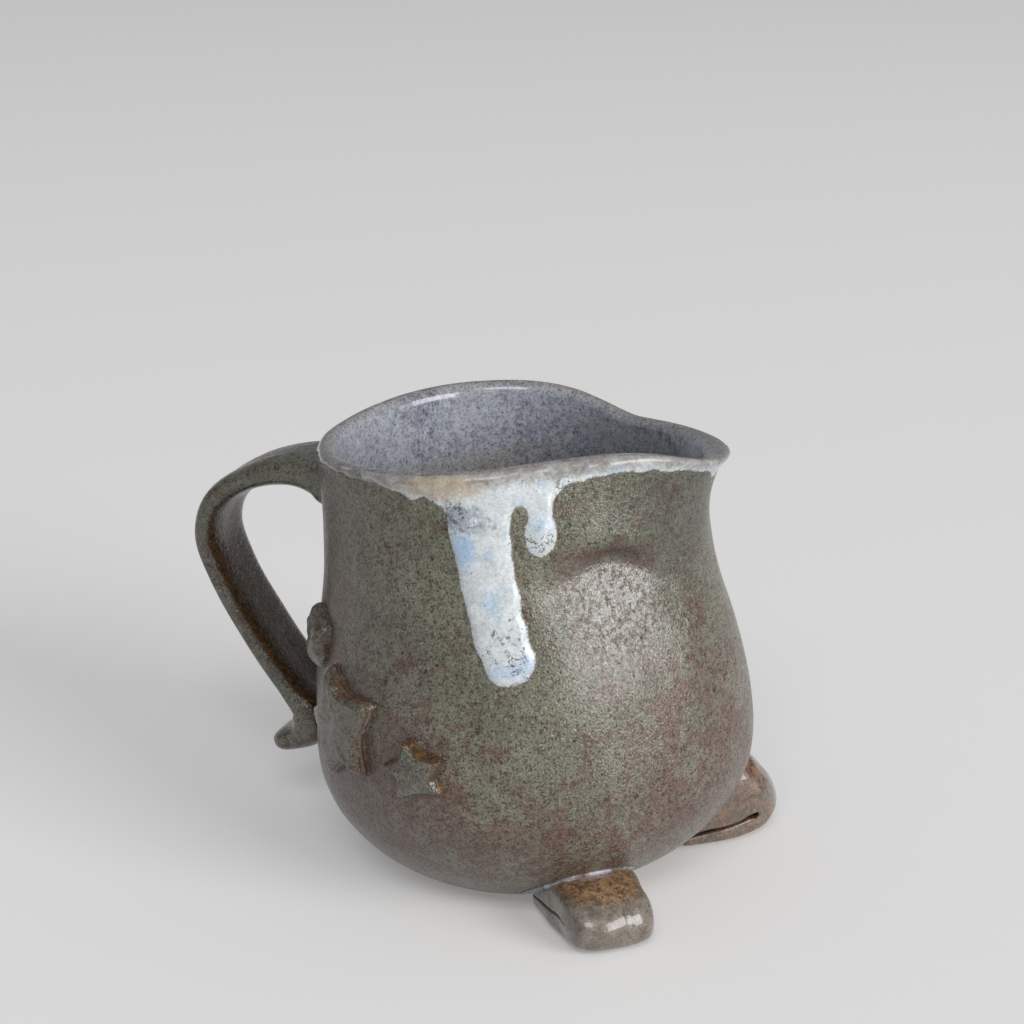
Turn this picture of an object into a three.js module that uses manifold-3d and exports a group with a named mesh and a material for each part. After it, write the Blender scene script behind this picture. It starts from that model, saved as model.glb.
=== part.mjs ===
// Small hand-thrown stoneware milk jug: a round pot that leans back on two folded feet.
// Millimetres, +Z up. +X runs from the handle to the spout, and the star side is -Y.
import * as THREE from "three";
import { mergeVertices } from "three/addons/utils/BufferGeometryUtils.js";
import Module from "manifold-3d";

const wasm = await Module();
wasm.setup();
const { degToRad, lerp, clamp } = THREE.MathUtils;

// Thrown pot, before it is shaped by hand
const BASE_RADIUS = 30;
const BELLY_RADIUS = 48.5;
const BELLY_HEIGHT = 27;
const NECK_RADIUS = 41.6;
const RIM_RADIUS = 40.6;
const RIM_HEIGHT = 93.8;
const SHOULDER_SHARE = 0.34;
const NECK_SHARE = 0.515;
const WALL = 4.5;
const FLOOR = 5.5;
const LIP = 3.8;

// Shaping by hand: rim, spout and thumb dents
const SPOUT_REACH = 8.8;
const SPOUT_ANGLE = degToRad(27);
const SPOUT_DEPTH = 32;
const SPOUT_DIP = 6.8;
const NEAR_WING = degToRad(22);
const FAR_WING = degToRad(26);
const FAR_WING_FROM = degToRad(59);
const RIM_SWELL = 1.6;
const SWELL_AT = degToRad(138);
const SWELL_ANGLE = degToRad(35);
const PINCH = 1.5;
const PINCH_AT = degToRad(58);
const PINCH_ANGLE = degToRad(16);
const SHAPED_DEPTH = 34;
const DENT = 4.5;
const DENT_AT = degToRad(35);
const DENT_HEIGHT = 66.5;
const DENT_WIDTH = 10;
const DENT_ABOVE = 6;
const DENT_BELOW = 12;

// How the pot sits: leant back towards the handle, its heel ground flat
const LEAN = degToRad(6.5);
const HEEL_GRIND = 0.4;
const JOINT_GAP = 0.3;
const SEAT_DEPTH = 1;

// Pulled handle
const HANDLE_TOP = 85.8;
const HANDLE_BOTTOM = 29.3;
const HANDLE_REACH = 32.5;
const HANDLE_WIDTH = 17.5;
const HANDLE_THICKNESS = 5.8;
const HANDLE_ROOT = 13;
const HANDLE_PRESS = 10;
const TAIL_KICK = 17;
const TAIL_DROP = 8.2;

// Folded feet
const FOOT_WIDTH = 18.5;
const FOOT_LAYER = 3.4;
const FOOT_SLIT = 1.1;
const FOOT_CURL = 1.5;
const FOOT_TUCK = 2;
const FOOT_EDGE = 2.5;
const FOOT_SINK = 0.6;
const RIGHT_FOOT_HEADING = degToRad(-47);
const RIGHT_FOOT_ASIDE = 5.3;
const RIGHT_FOOT_PROUD = 2.8;
const RIGHT_FOOT_TOP = 13;
const RIGHT_FOOT_CROWN = 6.3;
const LEFT_FOOT_HEADING = degToRad(39);
const LEFT_FOOT_ASIDE = 0;
const LEFT_FOOT_PROUD = 5.5;
const LEFT_FOOT_TOP = 20;
const LEFT_FOOT_CROWN = 9;

// Star sprigs
const STAR_THICKNESS = 3;
const STAR_WAIST = 0.56;
const SMALL_STAR = 7.4;
const LARGE_STAR = 13.2;
const FRONT_STAR_AT = degToRad(-98.5);
const FRONT_STAR_HEIGHT = 35.8;
const LARGE_STAR_AT = degToRad(-125);
const LARGE_STAR_HEIGHT = 41.5;
const REAR_STAR_AT = degToRad(-145);
const REAR_STAR_HEIGHT = 56.5;

// Glaze
const LINER = 0.8;
const BAND_FROM = degToRad(-106);
const BAND_TO = degToRad(-4);
const BAND_DEPTH = 5;
const RUN_THICKNESS = 1.1;
const LONG_RUN_AT = degToRad(-75.5);
const LONG_RUN_LENGTH = 41;
const LONG_RUN_WIDTH = 13;
const SHORT_RUN_AT = degToRad(-60);
const SHORT_RUN_LENGTH = 15.5;
const SHORT_RUN_WIDTH = 6.4;

const SEGMENTS = 48;

const glazedClay = new THREE.MeshStandardMaterial({ color: 0x7d7a68, roughness: 0.35, metalness: 0 });
const amberGlaze = new THREE.MeshStandardMaterial({ color: 0x6f4c2c, roughness: 0.25, metalness: 0 });
const paleGlaze = new THREE.MeshStandardMaterial({ color: 0xb3b2b8, roughness: 0.2, metalness: 0 });

const bell = (distance, width) => Math.exp(-((distance / width) ** 2));

// Joins equal corners, drops empty triangles and gives one closed solid
function toSolid(geometry) {
  const plain = geometry.clone();
  plain.deleteAttribute("normal");
  plain.deleteAttribute("uv");
  const joined = mergeVertices(plain, 1e-4);
  const corners = joined.index.array;
  const kept = [];
  for (let i = 0; i < corners.length; i += 3) {
    const [a, b, c] = corners.slice(i, i + 3);
    if (a !== b && b !== c && c !== a) kept.push(a, b, c);
  }
  return new wasm.Manifold(new wasm.Mesh({
    numProp: 3,
    vertProperties: new Float32Array(joined.attributes.position.array),
    triVerts: new Uint32Array(kept),
  }));
}

function toMesh(name, solid, material) {
  const made = solid.getMesh();
  const geometry = new THREE.BufferGeometry();
  geometry.setAttribute("position", new THREE.BufferAttribute(new Float32Array(made.vertProperties), 3));
  geometry.setIndex(new THREE.BufferAttribute(new Uint32Array(made.triVerts), 1));
  geometry.computeVertexNormals();
  const mesh = new THREE.Mesh(geometry, material);
  mesh.name = name;
  return mesh;
}

// Closed solid through a row of rings with equal numbers of points, a fan at each end
function loft(rings) {
  const around = rings[0].length;
  const corners = [];
  const faces = [];
  const add = (point) => corners.push(point.x, point.y, point.z);
  rings.forEach((ring) => ring.forEach(add));
  for (let r = 0; r + 1 < rings.length; r += 1) {
    for (let k = 0; k < around; k += 1) {
      const a = r * around + k;
      const b = r * around + ((k + 1) % around);
      faces.push(a, b, b + around, a, b + around, a + around);
    }
  }
  const ends = [[rings[0], 0, true], [rings.at(-1), (rings.length - 1) * around, false]];
  ends.forEach(([ring, first, back]) => {
    const middle = ring.reduce((sum, point) => sum.add(point), new THREE.Vector3()).divideScalar(around);
    const hub = corners.length / 3;
    add(middle);
    for (let k = 0; k < around; k += 1) {
      const a = first + k;
      const b = first + ((k + 1) % around);
      faces.push(hub, back ? b : a, back ? a : b);
    }
  });
  const geometry = new THREE.BufferGeometry();
  geometry.setAttribute("position", new THREE.Float32BufferAttribute(corners, 3));
  geometry.setIndex(faces);
  return geometry;
}

// The hand's work on the thrown pot: raised sides, pulled spout, pinched neck and thumb dents
function shapeClay(point) {
  const angle = Math.atan2(point.y, point.x);
  const radius = Math.hypot(point.x, point.y);
  const share = radius / RIM_RADIUS;
  const top = RIM_HEIGHT + LIP / 2;
  const upper = clamp((point.z - top + SHAPED_DEPTH) / SHAPED_DEPTH, 0, 1.1) ** 2;
  const spout = clamp((point.z - top + SPOUT_DEPTH) / SPOUT_DEPTH, 0, 1.1) ** 2;
  const wing = angle < 0 ? bell(angle, NEAR_WING) : bell(Math.max(0, angle - FAR_WING_FROM), FAR_WING);
  const tongue = bell(angle, SPOUT_ANGLE);
  const pinched = bell(Math.abs(angle) - PINCH_AT, PINCH_ANGLE);
  const across = (Math.abs(angle) - DENT_AT) * BELLY_RADIUS;
  const above = point.z - DENT_HEIGHT;
  const dented = bell(across, DENT_WIDTH) * bell(above, above > 0 ? DENT_ABOVE : DENT_BELOW);
  const out = share * (SPOUT_REACH * tongue * spout - PINCH * pinched * upper - DENT * dented);
  const fromSwell = Math.abs(Math.abs(angle - SWELL_AT) - Math.PI);
  const swell = bell(Math.PI - fromSwell, SWELL_ANGLE);
  const rise = upper * (RIM_SWELL * swell - SPOUT_DIP * wing);
  return new THREE.Vector3(
    point.x + out * Math.cos(angle),
    point.y + out * Math.sin(angle),
    point.z + rise,
  );
}

function shaped(geometry) {
  const places = geometry.attributes.position;
  const point = new THREE.Vector3();
  for (let i = 0; i < places.count; i += 1) {
    const moved = shapeClay(point.fromBufferAttribute(places, i));
    places.setXYZ(i, moved.x, moved.y, moved.z);
  }
  return geometry;
}

// Turns a profile about the pot's axis, with every quad split the same way so that nested walls match
function turned(profile) {
  const lathe = new THREE.LatheGeometry(profile, SEGMENTS).rotateX(Math.PI / 2);
  const faces = [];
  for (let i = 0; i < SEGMENTS; i += 1) {
    for (let j = 0; j + 1 < profile.length; j += 1) {
      const a = i * profile.length + j;
      const b = a + profile.length;
      if (profile[j].y < profile[j + 1].y) faces.push(a, b, b + 1, a, b + 1, a + 1);
      else faces.push(a, b, a + 1, b + 1, a + 1, b);
    }
  }
  lathe.setIndex(faces);
  return lathe;
}

// Outline of the wall from the base corner to the lip, set in by the wall's own thickness for the inside
function wallLine(setIn, lipSetIn, bottom, startRadius) {
  const belly = BELLY_RADIUS - setIn;
  const bowl = (BELLY_HEIGHT - bottom) / Math.sqrt(1 - (startRadius / belly) ** 2);
  const line = new THREE.CurvePath();
  line.add(new THREE.EllipseCurve(0, BELLY_HEIGHT, belly, bowl, -Math.acos(startRadius / belly), 0));
  line.add(new THREE.CubicBezierCurve(
    new THREE.Vector2(belly, BELLY_HEIGHT),
    new THREE.Vector2(belly, lerp(BELLY_HEIGHT, RIM_HEIGHT, SHOULDER_SHARE)),
    new THREE.Vector2(NECK_RADIUS - lipSetIn, lerp(BELLY_HEIGHT, RIM_HEIGHT, NECK_SHARE)),
    new THREE.Vector2(RIM_RADIUS - lipSetIn, RIM_HEIGHT),
  ));
  return line;
}

const outside = wallLine(0, 0, 0, BASE_RADIUS);
const inside = wallLine(WALL, LIP, FLOOR, 0);
const outsideLength = outside.getLength();
const pointsOf = (line, bowl, side) => [
  ...line.curves[0].getPoints(bowl),
  ...line.curves[1].getPoints(side).slice(1),
];

const lipArc = (radius, from, to, steps) => new THREE.EllipseCurve(
  RIM_RADIUS - LIP / 2, RIM_HEIGHT, radius, radius, from, to, to < from,
).getPoints(steps);

// Moves a profile sideways, to the right of its direction
function offsetProfile(points, distance) {
  return points.map((point, i) => {
    const before = points[Math.max(i - 1, 0)];
    const after = points[Math.min(i + 1, points.length - 1)];
    const along = new THREE.Vector2().subVectors(after, before).normalize();
    return new THREE.Vector2(Math.max(0, point.x + along.y * distance), point.y - along.x * distance);
  });
}

// The pot's filled outer form, grown all round, which cuts the seats of what is luted to it
function potForm(grow) {
  const side = offsetProfile(pointsOf(outside, 8, 12), grow);
  const profile = [
    new THREE.Vector2(0, -grow),
    new THREE.Vector2(BASE_RADIUS, -grow),
    ...side,
    new THREE.Vector2(RIM_RADIUS + grow, RIM_HEIGHT + LIP),
    new THREE.Vector2(0, RIM_HEIGHT + LIP),
  ];
  return shaped(turned(profile));
}

function thrownBody(toSeat) {
  const profile = [
    new THREE.Vector2(0, 0),
    ...pointsOf(outside, 8, 12),
    ...lipArc(LIP / 2, 0, Math.PI, 6).slice(1, -1),
    ...pointsOf(inside, 6, 9).reverse(),
  ];
  const table = new THREE.BoxGeometry(200, 200, 20).translate(0, 0, -10);
  return toSolid(shaped(turned(profile)))
    .subtract(toSolid(table.applyMatrix4(toSeat.clone().invert())));
}

// Coat of glaze on the inside, over the lip to its outer shoulder
function linerGlaze() {
  const face = [
    ...pointsOf(inside, 6, 9).slice(0, -1),
    ...lipArc(LIP / 2, Math.PI, degToRad(55), 4),
  ];
  const under = offsetProfile(face, -JOINT_GAP);
  const over = offsetProfile(face, -JOINT_GAP - LINER);
  under[0].x = 0;
  over[0].x = 0;
  return toSolid(shaped(turned([...under, ...over.reverse()])));
}

// Point on the shaped outer wall, at a distance along it from the base corner and a lift off it
function wallPoint(angle, along, lift) {
  const at = (turn, distance) => {
    const { x, y } = outside.getPoint(clamp(distance / outsideLength, 0, 1));
    return shapeClay(new THREE.Vector3(x * Math.cos(turn), x * Math.sin(turn), y));
  };
  const step = 0.01;
  const round = at(angle + step, along).sub(at(angle - step, along));
  const upward = at(angle, along + step).sub(at(angle, along - step));
  const normal = round.cross(upward).normalize();
  return at(angle, along).addScaledVector(normal, lift);
}

// Distance along the outer wall at which it reaches a height
function alongAt(height) {
  let low = 0;
  let high = outsideLength;
  for (let i = 0; i < 40; i += 1) {
    const middle = (low + high) / 2;
    if (outside.getPoint(middle / outsideLength).y < height) low = middle;
    else high = middle;
  }
  return low;
}

const radiusAt = (height) => outside.getPoint(alongAt(height) / outsideLength).x;

// Strap with a soft-edged section swept along a line in the XZ plane
function strap(line, stations, width, thickness) {
  const side = new THREE.Vector3(0, 1, 0);
  const rings = [];
  for (let i = 0; i <= stations; i += 1) {
    const t = i / stations;
    const middle = line.getPoint(t);
    const up = line.getTangent(t).cross(side);
    const ring = [];
    for (let k = 0; k < 14; k += 1) {
      const turn = (k / 14) * 2 * Math.PI;
      const wide = Math.sign(Math.cos(turn)) * Math.abs(Math.cos(turn)) ** 0.75 * width(t) / 2;
      const thick = Math.sign(Math.sin(turn)) * Math.abs(Math.sin(turn)) ** 0.75 * thickness(t) / 2;
      ring.push(middle.clone().addScaledVector(side, wide).addScaledVector(up, thick));
    }
    rings.push(ring);
  }
  return loft(rings);
}

function pulledHandle() {
  const neck = radiusAt(HANDLE_TOP);
  const belly = radiusAt(HANDLE_BOTTOM);
  const drop = HANDLE_TOP - HANDLE_BOTTOM;
  const at = (x, z) => new THREE.Vector3(x, 0, z);
  const loop = (share, fall) => at(-neck - HANDLE_REACH * share, HANDLE_TOP - drop * fall);
  const low = (out, down) => at(-belly - out, HANDLE_BOTTOM - down);
  const line = new THREE.CatmullRomCurve3([
    loop(-0.09, 0),
    loop(0.29, -0.035),
    loop(0.65, 0.005),
    loop(0.91, 0.1),
    loop(1, 0.23),
    loop(0.94, 0.4),
    loop(0.74, 0.65),
    low(HANDLE_PRESS - 1.5, -6),
    low(HANDLE_PRESS / 2, 0),
    low(HANDLE_PRESS * 0.7, TAIL_DROP * 0.55),
    low(TAIL_KICK, TAIL_DROP),
  ]);
  const round = (t) => Math.sqrt(1 - 0.85 * clamp((t - 0.96) / 0.04, 0, 1) ** 2);
  const width = (t) => (HANDLE_WIDTH + 4 * Math.exp(-t / 0.06)) * round(t);
  const thickness = (t) => (HANDLE_THICKNESS
    + (HANDLE_ROOT - HANDLE_THICKNESS) * Math.exp(-t / 0.075)
    + (HANDLE_PRESS - HANDLE_THICKNESS) * bell(t - 0.82, 0.09)) * round(t);
  return toSolid(strap(line, 36, width, thickness)).subtract(toSolid(potForm(JOINT_GAP)));
}

// Extrudes an outline, drawn in the plane through the pot's axis, to a width centred on that plane
function acrossAxis(outline, width, edge) {
  return new THREE.ExtrudeGeometry(outline, {
    depth: width - 2 * edge,
    bevelEnabled: edge > 0,
    bevelThickness: edge,
    bevelSize: edge,
    bevelOffset: -edge,
    bevelSegments: 2,
    curveSegments: 4,
  }).rotateX(Math.PI / 2).translate(0, width / 2 - edge, 0);
}

// Foot: a wad of clay folded under itself and set aside of its heading; the fold's slit ends in a small curl
function foldedFoot(heading, aside, proud, top, crown, toSeat) {
  const point = (radius, height) => new THREE.Vector2(radius, height);
  const reach = BELLY_RADIUS + proud;
  const tongue = BASE_RADIUS + FOOT_TUCK;
  const wad = new THREE.Shape();
  wad.moveTo(tongue, -FOOT_SINK);
  wad.lineTo(reach - 5, -FOOT_SINK);
  wad.splineThru([
    point(reach - 1, top * 0.2),
    point(reach, top * 0.42),
    point(reach - 1.8, top * 0.75),
    point(reach - 6, top * 0.97),
    point(tongue + crown, top + 0.6),
  ]);
  wad.lineTo(tongue, top);
  const curl = point(reach - FOOT_LAYER - FOOT_CURL, FOOT_LAYER + FOOT_CURL);
  const slit = new THREE.Shape();
  slit.moveTo(tongue - 5, FOOT_LAYER - FOOT_SLIT);
  slit.lineTo(curl.x, FOOT_LAYER);
  slit.absarc(curl.x, curl.y, FOOT_CURL, -Math.PI / 2, Math.PI / 2, false);
  slit.lineTo(curl.x - 3 * FOOT_CURL, FOOT_LAYER + FOOT_SLIT);
  slit.lineTo(tongue - 5, FOOT_LAYER);
  const table = new THREE.BoxGeometry(200, 200, 20).translate(0, 0, -10);
  return toSolid(acrossAxis(wad, FOOT_WIDTH, FOOT_EDGE))
    .subtract(toSolid(acrossAxis(slit, FOOT_WIDTH + 4, 0)))
    .translate([0, -aside, 0])
    .rotate([0, 0, THREE.MathUtils.radToDeg(heading)])
    .subtract(toSolid(table))
    .subtract(toSolid(potForm(JOINT_GAP).applyMatrix4(toSeat)));
}

// Five-pointed star cut from a slab, bent to the wall it sits on
function starSprig(at, height, size, turn) {
  const base = alongAt(height);
  const radius = radiusAt(height);
  const count = 20;
  const edge = (k) => {
    const point = ((k / count) * 5 + 0.5) % 1;
    const reach = 1 - Math.abs(point - 0.5) * 2;
    return size * lerp(STAR_WAIST, 1, reach ** 1.25);
  };
  const place = (k, share, lift) => {
    const direction = turn + (k / count) * 2 * Math.PI;
    const away = edge(k) * share;
    return wallPoint(at - Math.sin(direction) * away / radius, base + Math.cos(direction) * away, lift);
  };
  const ring = (share, lift) => Array.from({ length: count }, (_, k) => place(k, share, lift));
  const star = loft([
    ring(0.5, -SEAT_DEPTH),
    ring(1, -SEAT_DEPTH),
    ring(1, JOINT_GAP + STAR_THICKNESS * 0.55),
    ring(0.9, JOINT_GAP + STAR_THICKNESS * 0.92),
    ring(0.75, JOINT_GAP + STAR_THICKNESS),
    ring(0.35, JOINT_GAP + STAR_THICKNESS),
  ]);
  return toSolid(star).subtract(toSolid(potForm(JOINT_GAP)));
}

// Rounded patch of thick glaze on the outer wall; place gives the angle and distance along the wall
function glazePatch(place, steps) {
  const half = 3;
  const rings = [];
  for (let i = 0; i <= steps; i += 1) {
    const ring = [];
    for (let k = -half; k <= half; k += 1) {
      const across = k / half;
      const [angle, along] = place(i / steps, across);
      ring.push(wallPoint(angle, along, JOINT_GAP + 0.25 + RUN_THICKNESS * (1 - across ** 2)));
    }
    for (let k = half; k >= -half; k -= 1) {
      const [angle, along] = place(i / steps, k / half);
      ring.push(wallPoint(angle, along, -SEAT_DEPTH));
    }
    rings.push(ring);
  }
  return toSolid(loft(rings));
}

function glazeRun(at, length, width) {
  return glazePatch((t, across) => {
    const tip = clamp((t - 0.8) / 0.2, 0, 1);
    const wide = width * (1 - 0.12 * Math.sin(t * Math.PI)) * Math.sqrt(1 - 0.9 * tip ** 2);
    return [at - across * wide / (2 * RIM_RADIUS), outsideLength - 1 - t * (length - 1)];
  }, 16);
}

function glazeOverflow() {
  const band = glazePatch((t, across) => {
    const depth = BAND_DEPTH * (0.35 + 0.65 * Math.sin(t * Math.PI) ** 0.5);
    return [lerp(BAND_FROM, BAND_TO, t), outsideLength - depth * (1 + across) / 2];
  }, 32);
  return band
    .add(glazeRun(LONG_RUN_AT, LONG_RUN_LENGTH, LONG_RUN_WIDTH))
    .add(glazeRun(SHORT_RUN_AT, SHORT_RUN_LENGTH, SHORT_RUN_WIDTH))
    .subtract(toSolid(potForm(JOINT_GAP)));
}

const jug = new THREE.Group();
jug.name = "milk_jug";

const pot = new THREE.Group();
pot.name = "leaning_pot";
pot.rotation.y = -LEAN;
pot.position.z = BASE_RADIUS * Math.sin(LEAN) - HEEL_GRIND;
pot.updateMatrix();
jug.add(pot);

pot.add(
  toMesh("thrown_body", thrownBody(pot.matrix), glazedClay),
  toMesh("liner_glaze", linerGlaze(), paleGlaze),
  toMesh("glaze_overflow", glazeOverflow(), paleGlaze),
  toMesh("pulled_handle", pulledHandle(), glazedClay),
  toMesh("front_star", starSprig(FRONT_STAR_AT, FRONT_STAR_HEIGHT, SMALL_STAR, degToRad(16)), amberGlaze),
  toMesh("large_star", starSprig(LARGE_STAR_AT, LARGE_STAR_HEIGHT, LARGE_STAR, degToRad(20)), amberGlaze),
  toMesh("rear_star", starSprig(REAR_STAR_AT, REAR_STAR_HEIGHT, SMALL_STAR, degToRad(8)), amberGlaze),
);
const footSizes = {
  right_foot: [RIGHT_FOOT_HEADING, RIGHT_FOOT_ASIDE, RIGHT_FOOT_PROUD, RIGHT_FOOT_TOP, RIGHT_FOOT_CROWN],
  left_foot: [LEFT_FOOT_HEADING, LEFT_FOOT_ASIDE, LEFT_FOOT_PROUD, LEFT_FOOT_TOP, LEFT_FOOT_CROWN],
};
for (const [name, sizes] of Object.entries(footSizes)) {
  jug.add(toMesh(name, foldedFoot(...sizes, pot.matrix), amberGlaze));
}

// The origin is the middle of the jug's footprint, on the table
const room = new THREE.Box3().setFromObject(jug, true);
const middle = room.getCenter(new THREE.Vector3());
jug.position.set(-middle.x, -middle.y, -room.min.z);

export default jug;
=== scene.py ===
"""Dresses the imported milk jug: thrown wall, glaze coats, strap handle, folded feet and star sprigs."""

import math

import bmesh
import bpy
import numpy as np
from mathutils import Matrix


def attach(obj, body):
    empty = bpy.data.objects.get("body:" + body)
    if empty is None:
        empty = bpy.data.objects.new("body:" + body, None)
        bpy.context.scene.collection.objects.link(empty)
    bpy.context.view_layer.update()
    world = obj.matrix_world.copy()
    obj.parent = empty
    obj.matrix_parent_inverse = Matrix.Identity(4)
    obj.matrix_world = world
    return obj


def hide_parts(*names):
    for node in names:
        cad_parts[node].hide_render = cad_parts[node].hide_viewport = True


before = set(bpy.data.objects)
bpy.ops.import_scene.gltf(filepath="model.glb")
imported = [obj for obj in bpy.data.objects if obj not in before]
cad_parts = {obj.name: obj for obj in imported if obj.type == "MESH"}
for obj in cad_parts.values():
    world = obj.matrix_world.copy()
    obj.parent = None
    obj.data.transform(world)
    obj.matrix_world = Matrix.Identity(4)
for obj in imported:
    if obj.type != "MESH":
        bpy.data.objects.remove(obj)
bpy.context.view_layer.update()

# Lengths are in millimetres and angles in degrees; MM turns lengths into the scene's metres
MM = 0.001

# Thrown pot
BASE_RADIUS = 30.0
BELLY_RADIUS = 48.5
BELLY_HEIGHT = 27.0
NECK_RADIUS = 41.6
RIM_RADIUS = 40.6
RIM_HEIGHT = 93.8
SHOULDER_SHARE = 0.34
NECK_SHARE = 0.515
WALL = 4.5
FLOOR = 5.5
LIP = 3.8
LIP_RISE = 2.5

# Shaping by hand
SPOUT_REACH = 8.8
SPOUT_ANGLE = 27.0
SPOUT_DEPTH = 32.0
SPOUT_DIP = 6.8
NEAR_WING = 22.0
FAR_WING = 26.0
FAR_WING_FROM = 59.0
RIM_SWELL = 1.6
SWELL_AT = 138.0
SWELL_ANGLE = 35.0
PINCH = 1.5
PINCH_AT = 58.0
PINCH_ANGLE = 16.0
SHAPED_DEPTH = 34.0
DENT = 3.9
DENT_AT = 39.0
DENT_HEIGHT = 73.6
DENT_LENGTH = 32.0
DENT_ABOVE = 2.9
DENT_SIDE = 16.0
DENT_EDGE = 1.9
DENT_PEAK = 44.0
DENT_ARCH = 0.016
DENT_FLATNESS = 0.98
DENT_FADING = 0.66
HAND_WAVER = 0.22

# How far the pot leans back, the shift that centres the part in its frame, and where the base then stands
LEAN = math.radians(6.5)
CENTRE_SHIFT = np.array([18.666, 1.539, 0.0])
BASE_AT = CENTRE_SHIFT + (0, 0, 2.996)

# Handle
HANDLE_TOP = 85.8
HANDLE_BOTTOM = 29.3
HANDLE_REACH = 32.5
HANDLE_WIDTH = 17.5
HANDLE_THICKNESS = 5.8
HANDLE_ROOT = 13.0
HANDLE_PRESS = 10.0
TAIL_KICK = 17.0
TAIL_DROP = 8.2

# Feet: heading, set to the right of it, half width, then the fold's outer and inner lines as reach and height
RIGHT_FOOT_HEADING = -47.0
RIGHT_FOOT_ASIDE = 5.3
RIGHT_FOOT_HALF = 9.5
RIGHT_FOOT_ROUND = 34.0
RIGHT_FOOT_OUTER = (
    (22, 7.4), (30, 11.5), (38, 12.2), (43.5, 12), (48, 10.4), (51, 7.6),
    (52, 4.6), (50.6, 1.5), (46.5, 0.1), (36, 0.1), (22, 0.3),
)
RIGHT_FOOT_INNER = (
    (22, 3.5), (30, 4.35), (34.5, 4.7), (39, 5.25), (42.4, 5.75), (44.2, 5.7),
    (44.1, 5.5), (43.4, 5.6), (41.5, 5.55), (34, 4.6), (22, 3.4),
)
LEFT_FOOT_HEADING = 39.0
LEFT_FOOT_ASIDE = 0.4
LEFT_FOOT_HALF = 10.8
LEFT_FOOT_ROUND = 21.0
LEFT_FOOT_OUTER = (
    (26, 14), (34, 20.5), (42.5, 20.2), (47.4, 18.2), (50.8, 14), (53.8, 9.2),
    (55, 5.2), (51.6, 1.4), (45, 0.2), (36, 0), (26, 0.4),
)
LEFT_FOOT_INNER = (
    (26, 2.5), (34, 3.45), (38.5, 4), (42.5, 4.75), (45, 5.8), (47.2, 6),
    (47.4, 5), (44.6, 5), (40, 4.2), (34, 3.4), (26, 2.4),
)
FOOT_ROUND_FROM = 36.0
RIGHT_FOOT_KNUCKLE = (44.0, 6.0)
LEFT_FOOT_KNUCKLE = (48.0, 11.0)

# Glaze pooled along the joints of the feet: angle round the pot and height
RIGHT_JOINT = ((-80, 1.4), (-72, 4.2), (-65, 6.4), (-58.5, 7.2), (-52, 6.9), (-45, 5.9), (-38, 4.4))
LEFT_JOINT = ((12, 4), (18, 9), (27, 12.4), (39, 13.6), (51, 12.4), (60, 9), (66, 4))

# Stars: where they sit, and each point's direction from straight up and its reach
STAR_THICKNESS = 3.1
FRONT_STAR = (-98.5, 35.8)
FRONT_POINTS = ((-15, 7.2), (66, 7.1), (126, 7.5), (218, 7.8), (276, 7.7))
LARGE_STAR = (-125.0, 41.5)
LARGE_POINTS = ((-20, 13.3), (60, 13.6), (139, 12.6), (202, 13.4), (272, 12.8))
REAR_STAR = (-145.0, 56.5)
REAR_POINTS = ((-8, 7.3), (64, 7.3), (136, 7.3), (208, 7.3), (280, 7.3))

# Glaze over the rim: angle and drop below the rim of its lower edge, then two runs as angle, drop and radius
OVERFLOW_EDGE = (
    (-128, -2.4), (-116, -1.6), (-106, -0.2), (-100, 1.5), (-93, 2.0), (-88, 3.2), (-76, 5.0),
    (-62, 4.4), (-53, 2.9), (-46, 1.7), (-40, 1.3), (-33, 1.2), (-26, 1.1), (-19, 1.3),
    (-11, 0.8), (-6, 1.7), (-2, 4.4), (2, 2.2), (6, -0.6), (14, -2.4),
)
LONG_RUN = ((-77.0, 3.0, 7.0), (-77.0, 10.0, 6.2), (-75.6, 22.0, 5.5), (-73.6, 32.0, 5.2), (-72.2, 36.2, 4.9))
SHORT_RUN = ((-59.0, 3.0, 3.2), (-59.6, 7.5, 2.8), (-60.1, 11.6, 3.5), (-60.3, 15.4, 0.7))
RUN_THICKNESS = 1.0
RIM_DEGREE = math.radians(1) * RIM_RADIUS
OVERFLOW_ANGLES = (-132, 20)
OVERFLOW_DROPS = (-4.2, 46)
OVERFLOW_STEP = 0.38

# Marks in that glaze: strength, angle round the pot, drop below the rim, then the spread of both
OVERFLOW_SPOTS = {
    "ochre": ((1.05, -87, -0.2, 15, 2.8),),
    "blue": ((1.2, -82, 12.5, 4.5, 4.5), (0.7, -60, 9, 4.5, 3)),
    "slate": ((1, -83, 6, 6, 3.2), (0.6, -92, 1.5, 6, 1.6)),
    "bubbled": ((1, -74, 7, 9, 4.5),),
    "crawl": (
        (0.75, -70, 37, 4, 4), (0.9, -60, 12.5, 4, 2.6), (0.5, -76, 31, 7, 4),
        (0.9, -85, 5, 6, 3.5), (0.7, -51, 1.5, 5, 1.8),
    ),
}

# Rust on the pot's outside: strength, angle, height, then the spread of both; and its size round each star
RUST_SPOTS = (
    (1.5, -42, 76, 14, 1.7), (1.5, -53, 71, 4.5, 3.4), (1.5, -28, 72, 7.5, 3.4),
    (0.8, -8, 36, 30, 24), (0.6, -34, 46, 20, 14),
)
STAR_RUST = ((FRONT_STAR, 12), (LARGE_STAR, 19), (REAR_STAR, 12))

# Fineness of the meshes: points along the wall's line, over the lip and round the pot
LINE_STEPS = 90
LIP_STEPS = 33
POT_POINTS = 300
POT_ANGLES = np.arange(POT_POINTS) * 360 / POT_POINTS

# Camera: the picture's width and the focal length in its pixels, the sensor, then its two ways and its place
PICTURE = 1024
FOCAL = 2277
SENSOR = 36
CAMERA_RIGHT = np.array([0.93275, 0.36052, 0.0])
CAMERA_AHEAD = np.array([-0.34231, 0.88564, -0.31379])
CAMERA_AT = np.array([160.77, -439.12, 234.75])

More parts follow.
